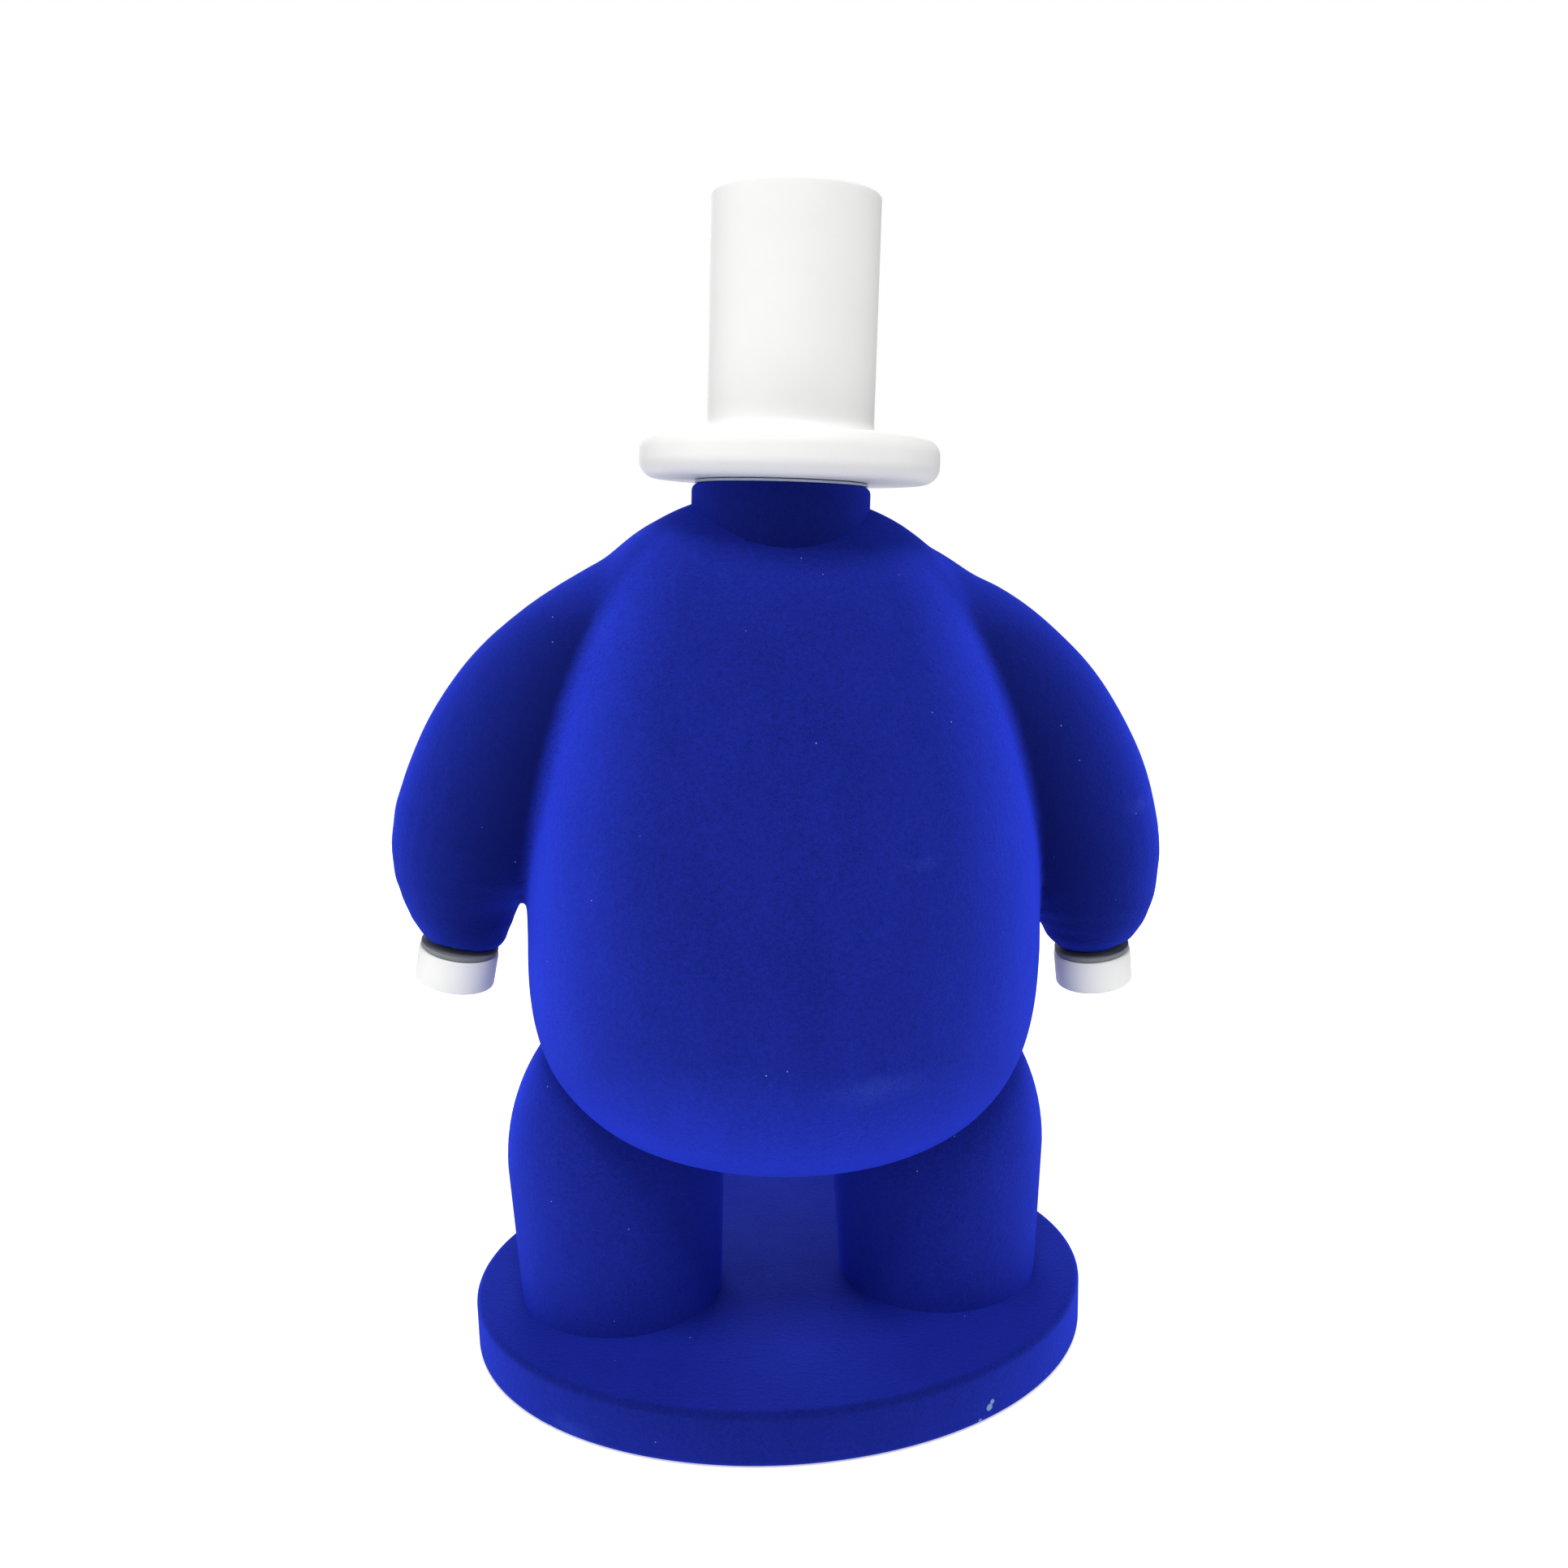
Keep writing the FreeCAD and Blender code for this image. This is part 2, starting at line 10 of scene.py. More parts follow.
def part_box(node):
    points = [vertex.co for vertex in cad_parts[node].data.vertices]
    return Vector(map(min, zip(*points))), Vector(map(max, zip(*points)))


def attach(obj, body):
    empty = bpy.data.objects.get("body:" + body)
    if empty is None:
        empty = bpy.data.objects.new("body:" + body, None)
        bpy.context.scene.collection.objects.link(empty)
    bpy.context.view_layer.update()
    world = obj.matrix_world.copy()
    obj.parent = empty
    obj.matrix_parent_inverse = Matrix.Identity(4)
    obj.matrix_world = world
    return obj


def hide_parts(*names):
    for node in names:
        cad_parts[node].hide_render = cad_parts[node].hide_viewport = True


bl_info = {
    "name": "Flocked Figure",
    "version": (1, 0, 0),
    "blender": (4, 5, 0),
    "location": "View3D > Sidebar > Flocked Figure",
    "description": "Skins and finishes for a stout flocked figure with a tall white hat",
    "category": "Add Mesh",
}

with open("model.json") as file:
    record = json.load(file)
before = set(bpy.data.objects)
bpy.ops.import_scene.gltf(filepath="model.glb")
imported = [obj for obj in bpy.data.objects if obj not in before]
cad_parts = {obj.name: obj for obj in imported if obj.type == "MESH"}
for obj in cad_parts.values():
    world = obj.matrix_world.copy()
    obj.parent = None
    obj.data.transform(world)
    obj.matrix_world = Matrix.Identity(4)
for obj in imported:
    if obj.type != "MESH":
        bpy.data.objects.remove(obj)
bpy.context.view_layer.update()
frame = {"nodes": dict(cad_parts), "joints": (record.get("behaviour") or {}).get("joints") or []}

# Metres throughout. +Z is up and the belly faces -Y. Left and right are as seen from the
# front. The figure above the hips is shaped upright in a frame of its own, which leans.

MM = 0.001
SIDES = (("left", -1), ("right", 1))
JOINTS = {joint["name"]: joint for joint in frame["joints"]}

# Middle line of an arm from the shoulder to the wrist, in millimetres in the figure's frame:
# distance from the middle plane, height, radius.
LEFT_ARM_LINE = (
    (8, 134, 18), (22, 134.5, 19.4), (36, 123, 21.5), (54, 106.5, 25.2), (67.6, 90, 25.8),
    (77.3, 74, 23.4), (80.3, 67, 21.9), (82.4, 60, 19.7), (83.1, 55, 17.4),
    (83.2, 51, 15.2), (82.8, 47, 13.2), (82.2, 43, 11.1), (81.9, 40.4, 9.0),
    (82.1, 38.8, 6.0),
)
RIGHT_ARM_LINE = (
    (10, 131, 15), (22, 132.5, 16.4), (38, 120.6, 21.5), (55, 105.7, 24.7),
    (68, 89.5, 25.2), (77.5, 74, 23), (82.5, 60, 20.1), (84.1, 51, 16.9),
    (84.2, 45.5, 13.9), (84.0, 41.2, 10.8), (84.1, 38.4, 7.2),
)


class FigureSizes(bpy.types.PropertyGroup):
    """Sizes of the figure's visible pieces."""

    hips: FloatVectorProperty(
        name="Hips", description="Origin of the figure's own frame",
        default=(0.0004, -0.005, 0.0694), subtype="TRANSLATION", precision=4)
    torso_half_width: FloatProperty(
        name="Torso half width", description="At the waist", default=0.0672, unit="LENGTH")
    torso_half_depth: FloatProperty(
        name="Torso half depth", description="At the waist", default=0.0570, unit="LENGTH")
    torso_forward: FloatProperty(
        name="Torso forward", description="Torso's axis in front of the figure's axis",
        default=0.002, unit="LENGTH")
    torso_top_left: FloatProperty(
        name="Torso drift", description="Drift of the axis to the left, waist to top",
        default=0.004, unit="LENGTH")
    waist_height: FloatProperty(
        name="Waist height", description="Widest level, above the hips",
        default=0.043, unit="LENGTH")
    torso_rise: FloatProperty(
        name="Torso rise", description="From the waist to the top",
        default=0.115, unit="LENGTH")
    torso_drop: FloatProperty(
        name="Torso drop", description="From the waist to the bottom",
        default=0.058, unit="LENGTH")
    arm_back: FloatProperty(
        name="Arm back", description="Arms' middle line behind the figure's axis",
        default=0.003, unit="LENGTH")
    crease_softness: IntProperty(
        name="Crease softness", description="Smoothing passes over the trunk's skin",
        default=7, min=1, max=60)
    shoulder_softness: IntProperty(
        name="Shoulder softness", description="Further passes over the shoulders",
        default=36, min=0, max=100)
    skin_cell: FloatProperty(
        name="Skin cell", description="Cell of the trunk's skin", default=0.00105,
        unit="LENGTH", precision=5)
    neck_radius: FloatProperty(
        name="Neck radius", description="Below the rounded rim", default=0.0226,
        unit="LENGTH")
    neck_round: FloatProperty(
        name="Neck rim", description="Round of the neck's upper rim", default=0.0020,
        unit="LENGTH")
    brim_radius: FloatProperty(
        name="Brim radius", description="Hat", default=0.0378, unit="LENGTH")
    brim_thickness: FloatProperty(
        name="Brim thickness", description="Hat", default=0.011, unit="LENGTH")
    brim_round: FloatProperty(
        name="Brim round", description="Both rims of the brim", default=0.0042,
        unit="LENGTH")
    crown_radius: FloatProperty(
        name="Crown radius", description="Hat", default=0.0210, unit="LENGTH")
    hat_height: FloatProperty(
        name="Hat height", description="Underside of the brim to the top", default=0.0688,
        unit="LENGTH")
    hand_radius: FloatProperty(
        name="Hand radius", description="White stub", default=0.0103, unit="LENGTH")
    hand_length: FloatProperty(
        name="Hand length", description="White stub", default=0.0091, unit="LENGTH")
    washer_radius: FloatProperty(
        name="Washer radius", description="Grey washer at the wrist", default=0.0100,
        unit="LENGTH")


class FlockFinish(bpy.types.PropertyGroup):
    """Colours and grain of the flock."""

    colour: FloatVectorProperty(
        name="Colour", description="Upright fibres", subtype="COLOR", min=0, max=1,
        default=(0.0060, 0.0126, 0.180))
    shade: FloatVectorProperty(
        name="Shade", description="Fibres brushed away from the light", subtype="COLOR",
        min=0, max=1, default=(0.0032, 0.0067, 0.096))
    sheen: FloatVectorProperty(
        name="Sheen", description="Fibre tips at a low angle", subtype="COLOR",
        min=0, max=1, default=(0.030, 0.070, 1.0))
    fibre: FloatProperty(
        name="Fibre", description="Size of a tuft of fibres", default=0.00038,
        unit="LENGTH", precision=5)


class PaintFinish(bpy.types.PropertyGroup):
    """White satin paint of the hat and the hands."""

    colour: FloatVectorProperty(
        name="Colour", description="Clean paint", subtype="COLOR", min=0, max=1,
        default=(0.81, 0.81, 0.80))
    roughness: FloatProperty(
        name="Roughness", description="Satin", default=0.48, min=0, max=1)


class StageSettings(bpy.types.PropertyGroup):
    """Camera and light."""

    camera_place: FloatVectorProperty(
        name="Camera place", description="In front of the figure", subtype="TRANSLATION",
        default=(-0.0318, -0.3743, 0.2298), precision=4)
    camera_turn: FloatProperty(
        name="Camera turn", description="To the right of straight ahead",
        subtype="ANGLE", default=math.radians(5.50))
    camera_dip: FloatProperty(
        name="Camera dip", description="Below the horizon", subtype="ANGLE",
        default=math.radians(11.69))
    camera_roll: FloatProperty(
        name="Camera roll", description="About the line of sight", subtype="ANGLE",
        default=math.radians(-1.26))
    lens: FloatProperty(
        name="Lens", description="Focal length on a 36 mm sensor", unit="CAMERA",
        default=33.54)
    sky_strength: FloatProperty(
        name="Sky", description="Even white light from all round", default=0.42, min=0)
    key_power: FloatProperty(
        name="Key", description="Softbox high in front", default=11.0, min=0)
    left_power: FloatProperty(
        name="Left", description="Softbox on the left", default=2.52, min=0)
    right_power: FloatProperty(
        name="Right", description="Softbox on the right", default=0.72, min=0)
    rear_power: FloatProperty(
        name="Rear", description="Softbox low behind the figure", default=7.0, min=0)


# The neck's axis in the figure's frame: across and back.
NECK_AXIS = (-0.0035, -0.0009)

# Middle of each leg on the board: distance from the middle plane, and depth.
LEG_ACROSS, LEG_BACK = 0.0438, -0.0040


# ---- Shaping


Ring = namedtuple("Ring", "height wide deep across", defaults=(None, 0.0))


def clear_selection():
    if bpy.context.mode != "OBJECT":
        bpy.ops.object.mode_set(mode="OBJECT")
    bpy.ops.object.select_all(action="DESELECT")


def pick(active, *others):
    clear_selection()
    for thing in (active, *others):
        thing.select_set(True)
    bpy.context.view_layer.objects.active = active


def stacked(name, rings, corners=128):
    """Closed form raised from a disc: its end face is extruded, moved and scaled to each
    ring in turn."""
    clear_selection()
    rings = [ring._replace(deep=ring.deep or ring.wide) for ring in rings]
    bpy.ops.mesh.primitive_circle_add(
        vertices=corners, radius=1, fill_type="NGON", enter_editmode=True)
    first = rings[0]
    bpy.ops.transform.resize(value=(first.wide, first.deep, 1), center_override=(0, 0, 0))
    bpy.ops.transform.translate(value=(first.across, 0, first.height))
    for below, ring in zip(rings, rings[1:]):
        step = (ring.across - below.across, 0, ring.height - below.height)
        bpy.ops.mesh.extrude_region_move(TRANSFORM_OT_translate={"value": step})
        bpy.ops.transform.resize(
            value=(ring.wide / below.wide, ring.deep / below.deep, 1),
            center_override=(ring.across, 0, ring.height))
    bpy.ops.mesh.select_all(action="SELECT")
    bpy.ops.mesh.normals_make_consistent(inside=False)
    bpy.ops.object.mode_set(mode="OBJECT")
    piece = bpy.context.object
    piece.name = piece.data.name = name
    return piece


def arc_rings(centre_radius, centre_height, round_radius, start, end, steps=7, deep=None):
    """Rings along an arc, from start to end degrees: 0 points outwards and 90 up."""
    rings = []
    for step in range(steps + 1):
        angle = math.radians(start + (end - start) * step / steps)
        out = round_radius * math.cos(angle)
        rings.append(Ring(
            centre_height + round_radius * math.sin(angle),
            centre_radius + out,
            deep + out if deep else None))
    return rings


def ramp(value, start, end):
    """0 at the start, 1 at the end, and held beyond both."""
    return min(max((value - start) / (end - start), 0), 1)


def smooth_faces(piece, angle=35):
    pick(piece)
    bpy.ops.object.shade_smooth_by_angle(angle=math.radians(angle))


def use(piece, kind, **settings):
    """Add a modifier, set it and apply it."""
    pick(piece)
    modifier = piece.modifiers.new(kind.title(), kind)
    for name, value in settings.items():
        setattr(modifier, name, value)
    bpy.ops.object.modifier_apply(modifier=modifier.name)


def settle(piece, place):
    """Move a piece that was made upright at the origin, and keep its place in its mesh."""
    piece.matrix_world = place
    pick(piece)
    bpy.ops.object.transform_apply(location=True, rotation=True, scale=True)


def upright_to(axis):
    return Vector((0, 0, 1)).rotation_difference(Vector(axis)).to_matrix().to_4x4()


def on_joint(name):
    """Frame of a joint: its point, with +Z along its axis."""
    joint = JOINTS[name]
    return Matrix.Translation(joint["pos_m"]) @ upright_to(joint["axis"])


def in_figure(across=0.0, back=0.0, height=0.0):
    """Frame of the leaning figure, moved across, back and up within it."""
    hips = Matrix.Translation(bpy.context.scene.figure_sizes.hips)
    lean = upright_to(JOINTS["hat_lift"]["axis"])
    return hips @ lean @ Matrix.Translation((across, back, height))


def finish_piece(piece, body, slot, material, *nodes):
    """Give a piece its material, hang it on its body and hide the parts it stands for."""
    piece.data.materials.clear()
    piece.data.materials.append(material)
    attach(piece, body)
    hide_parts(*nodes)


# ---- Finishes


class Finish:
    """One material, built from nodes that read the piece's own place."""

    def __init__(self, name):
        self.material = bpy.data.materials.new(name)
        self.material.use_nodes = True
        self.tree = self.material.node_tree
        self.shader = self.tree.nodes["Principled BSDF"]
        self.place = self.add("ShaderNodeTexCoord").outputs["Object"]

    def add(self, kind, inputs=(), **settings):
        """Add a node; inputs maps a socket to a value or to another node's output."""
        node = self.tree.nodes.new(kind)
        for name, value in settings.items():
            setattr(node, name, value)
        for name, value in dict(inputs).items():
            self.feed(node.inputs[name], value)
        return node

    def feed(self, socket, value):
        if isinstance(value, bpy.types.NodeSocket):
            self.tree.links.new(value, socket)
        else:
            socket.default_value = value

    def set(self, **values):
        """Set the shader's sockets, named with underscores for spaces."""
        for name, value in values.items():
            self.feed(self.shader.inputs[name.replace("_", " ")], value)

    def stretched(self, scale=(1, 1, 1), turn=(0, 0, 0), centre=(0, 0, 0)):
        """The piece's place, turned and stretched about a centre."""
        moved = self.add(
            "ShaderNodeVectorMath", {0: self.place, 1: centre}, operation="SUBTRACT")
        mapping = self.add("ShaderNodeMapping", {
            "Vector": moved.outputs[0], "Rotation": turn, "Scale": scale})
        return mapping.outputs[0]

    def noise(self, size, detail=2.0, rough=0.5, place=None):
        """Clouds of about this size in metres, from 0 to 1."""
        return self.add("ShaderNodeTexNoise", {
            "Vector": place or self.place,
            "Scale": 1 / size,
            "Detail": detail,
            "Roughness": rough,
        }).outputs["Fac"]

    def attribute(self, name):
        """A value that the mesh itself carries."""
        return self.add("ShaderNodeAttribute", attribute_name=name).outputs["Fac"]

    def sum(self, *values):
        total = values[0]
        for value in values[1:]:
            total = self.add(
                "ShaderNodeMath", {0: total, 1: value}, operation="ADD").outputs[0]
        return total

    def times(self, first, second):
        return self.add(
            "ShaderNodeMath", {0: first, 1: second}, operation="MULTIPLY").outputs[0]

    def spread(self, value, low, high, to_low=0.0, to_high=1.0):
        """Stretch a value from one range to another, held at both ends."""
        return self.add("ShaderNodeMapRange", {
            "Value": value,
            "From Min": low,
            "From Max": high,
            "To Min": to_low,
            "To Max": to_high,
        }).outputs["Result"]

    def blend(self, share, first, second):
        """Colour between two colours."""
        mix = self.add("ShaderNodeMix", {0: share, 6: first, 7: second}, data_type="RGBA")
        return mix.outputs[2]

    def specks(self, spacing, radius, share):
        """1 inside small scattered dots and 0 outside them."""
        cells = self.add("ShaderNodeTexVoronoi", {
            "Vector": self.place, "Scale": 1 / spacing, "Randomness": 1.0})
        near = self.spread(
            cells.outputs["Distance"], radius / spacing * 0.7, radius / spacing, 1, 0)
        lot = self.add("ShaderNodeSeparateColor", {0: cells.outputs["Color"]}).outputs[0]
        chosen = self.add(
            "ShaderNodeMath", {0: lot, 1: 1 - share}, operation="GREATER_THAN").outputs[0]
        return self.times(near, chosen)

    def patch(self, centre, radius, ragged=0.3):
        """1 near a point and 0 away from it, with a ragged edge."""
        away = self.add(
            "ShaderNodeVectorMath", {0: self.place, 1: centre}, operation="DISTANCE")
        edge = self.times(self.noise(radius * 0.6, 3, 0.6), radius * 2 * ragged)
        reach = self.sum(away.outputs["Value"], edge)
        return self.spread(reach, radius * (0.75 + ragged), radius * (1.05 + ragged), 1, 0)

    def smear(self, centre, radius, slant):
        """A soft lengthways smear, 1 in the middle and 0 outside."""
        near = self.add("ShaderNodeVectorMath", {
            0: self.stretched((1, 1, 3), (0, slant, 0), centre)}, operation="LENGTH")
        ragged = self.times(self.noise(radius * 0.5, 3, 0.6), radius * 1.2)
        reach = self.sum(near.outputs["Value"], ragged)
        return self.spread(reach, radius * 0.4, radius * 1.6, 1, 0)

    def bump(self, height, depth, strength=1.0):
        bump = self.add("ShaderNodeBump", {
            "Height": height, "Distance": depth, "Strength": strength})
        self.set(Normal=bump.outputs[0])


def rgba(colour, share=1.0):
    """A colour scaled by a share, with its alpha."""
    return (*(min(share * part, 1) for part in colour), 1.0)


def flock_finish(name, depth=1.0, shade_paint_attribute=None, sheen_paint_attribute=None, scuffs_and_highlights=(), chips=()):
    """Blue flock: short fibres, a nap that lies this way and that, a little lint, and
    brushed marks. Depth scales the colour; shade_paint_attribute and sheen_paint_attribute
    name attributes that are 1 where shade or a highlight is painted on. A scuff is (centre,
    radius, slant, strength); the scuffs are brushed marks and painted highlights. A chip is
    (centre, radius)."""
    flock = bpy.context.scene.flock_finish
    brushed_and_highlight_blue = (0.040, 0.075, 0.42, 1)
    lint_blue = (0.42, 0.47, 0.78, 1)
    bare_board = (0.22, 0.36, 0.38, 1)
    finish = Finish(name)
    fibres = finish.noise(flock.fibre, 3, 0.7)
    tufts = finish.noise(flock.fibre * 3.2, 2, 0.55)
    strokes = finish.noise(0.011, 3, 0.55, finish.stretched((1, 1, 0.32), (0, 0.25, 0)))
    clouds = finish.noise(0.045, 2, 0.5)
    lie = finish.sum(*(
        finish.times(finish.spread(noise, 0.5 - half, 0.5 + half, -1, 1), share)
        for noise, half, share in (
            (fibres, 0.20, 0.62), (tufts, 0.20, 0.24), (strokes, 0.15, 0.10),
            (clouds, 0.15, 0.09))
    ))
    colour = finish.blend(
        finish.spread(lie, -0.75, 0.75), rgba(flock.shade, depth),
        rgba(flock.colour, 1.45 * depth))
    # Painted shade: where the attribute is 1, the colour goes towards a near-black shade blue.
    if shade_paint_attribute:
        share = finish.times(finish.attribute(shade_paint_attribute), 0.90)
        colour = finish.blend(share, colour, rgba(flock.shade, 0.12))
    # Painted highlight: where the attribute is 1, the colour goes towards a pale sheen blue.
    if sheen_paint_attribute:
        grain = finish.spread(lie, -0.75, 0.75, 0.35, 0.95)
        share = finish.times(finish.attribute(sheen_paint_attribute), grain)
        colour = finish.blend(share, colour, rgba(flock.colour, 2.8))
    # Brushed marks and painted highlights, in a paler brushed blue.
    for centre, radius, slant, strength in scuffs_and_highlights:
        grain = finish.spread(fibres, 0.35, 0.65, 0.1 * strength, 0.5 * strength)
        share = finish.times(finish.smear(centre, radius, slant), grain)
        colour = finish.blend(share, colour, brushed_and_highlight_blue)
    lint = finish.specks(0.0024, 0.00017, 0.045)
    colour = finish.blend(finish.times(lint, 0.8), colour, lint_blue)
    for centre, radius in chips:
        colour = finish.blend(finish.patch(centre, radius), colour, bare_board)
    finish.set(
        Base_Color=colour, Roughness=0.92, Specular_IOR_Level=0.05, Sheen_Weight=1.0,
        Sheen_Roughness=0.58, Sheen_Tint=rgba(flock.sheen))
    finish.bump(finish.sum(fibres, finish.times(tufts, 0.8)), 0.00022, 0.75)
    return finish.material


def paint_finish(name):
    """White satin paint with a fine orange peel, faint handling marks and a little dust."""
    paint = bpy.context.scene.paint_finish
    handled_cream = (0.62, 0.60, 0.55, 1)
    dust_grey = (0.50, 0.49, 0.46, 1)
    finish = Finish(name)
    clouds = finish.noise(0.022, 3, 0.55)
    smudges = finish.noise(0.009, 4, 0.6, finish.stretched((1, 1, 0.5), (0.3, 0, 0.4)))
    peel = finish.noise(0.0011, 2, 0.5)
    colour = finish.blend(
        finish.spread(clouds, 0.3, 0.7), rgba(paint.colour, 0.965), rgba(paint.colour))
    colour = finish.blend(
        finish.spread(smudges, 0.66, 0.82, 0, 0.10), colour, handled_cream)
    dust = finish.specks(0.0030, 0.00016, 0.03)
    colour = finish.blend(finish.times(dust, 0.35), colour, dust_grey)
    finish.set(
        Base_Color=colour, Specular_IOR_Level=0.4,
        Roughness=finish.spread(
            smudges, 0.3, 0.8, paint.roughness, paint.roughness + 0.14))
    finish.bump(finish.sum(peel, finish.times(clouds, 2.0)), 0.00004, 0.5)
    return finish.material


def moulded_finish(name, colour, roughness, grain=0.0007, streak=0.10):
    """Moulded fibre or plastic: a fine grain and slightly uneven colour."""
    finish = Finish(name)
    fine = finish.noise(grain, 3, 0.6)
    clouds = finish.noise(0.006, 3, 0.5)
    lie = finish.sum(finish.times(fine, 0.5), finish.times(clouds, 0.5))
    finish.set(
        Base_Color=finish.blend(
            finish.spread(lie, 0.35, 0.65), rgba(colour, 1 - streak),
            rgba(colour, 1 + streak)),
        Roughness=finish.spread(fine, 0.3, 0.7, roughness - 0.08, roughness + 0.08),
        Specular_IOR_Level=0.35)
    finish.bump(fine, 0.00006, 0.6)
    return finish.material


def wood_finish(name, along="Z"):
    """Bare beech: long grain, growth bands and short dark flecks."""
    dark_band = (0.48, 0.29, 0.155, 1)
    pale_band = (0.66, 0.44, 0.26, 1)
    pore_brown = (0.33, 0.18, 0.09, 1)
    fleck_brown = (0.27, 0.14, 0.07, 1)
    finish = Finish(name)
    long_way = {"X": (0.05, 1, 1), "Y": (1, 0.05, 1), "Z": (1, 1, 0.05)}[along]
    fleck_way = tuple(0.22 if part < 1 else 1 for part in long_way)
    pores = finish.noise(0.0005, 3, 0.6, finish.stretched(long_way))
    bands = finish.noise(0.0035, 4, 0.5, finish.stretched(long_way))
    flecks = finish.noise(0.0011, 1, 0.4, finish.stretched(fleck_way))
    colour = finish.blend(finish.spread(bands, 0.35, 0.65), dark_band, pale_band)
    colour = finish.blend(finish.spread(pores, 0.55, 0.75, 0, 0.45), colour, pore_brown)
    colour = finish.blend(finish.spread(flecks, 0.66, 0.72, 0, 0.55), colour, fleck_brown)
    finish.set(
        Base_Color=colour, Roughness=finish.spread(bands, 0.3, 0.7, 0.58, 0.72),
        Specular_IOR_Level=0.3)
    finish.bump(finish.sum(pores, flecks), 0.00008, 0.6)
    return finish.material


def zinc_finish(name):
    """Zinc-plated steel: a faint crystal pattern with fine scratches."""
    dull_zinc = (0.47, 0.48, 0.47, 1)
    bright_zinc = (0.66, 0.67, 0.64, 1)
    finish = Finish(name)
    crystals = finish.noise(0.0009, 3, 0.5)
    scratches = finish.noise(0.00035, 2, 0.6, finish.stretched((1, 0.12, 1)))
    finish.set(
        Base_Color=finish.blend(
            finish.spread(crystals, 0.35, 0.65), dull_zinc, bright_zinc),
        Metallic=1.0,
        Roughness=finish.spread(scratches, 0.3, 0.7, 0.28, 0.46))
    finish.bump(scratches, 0.00003, 0.5)
    return finish.material


# ---- Pieces


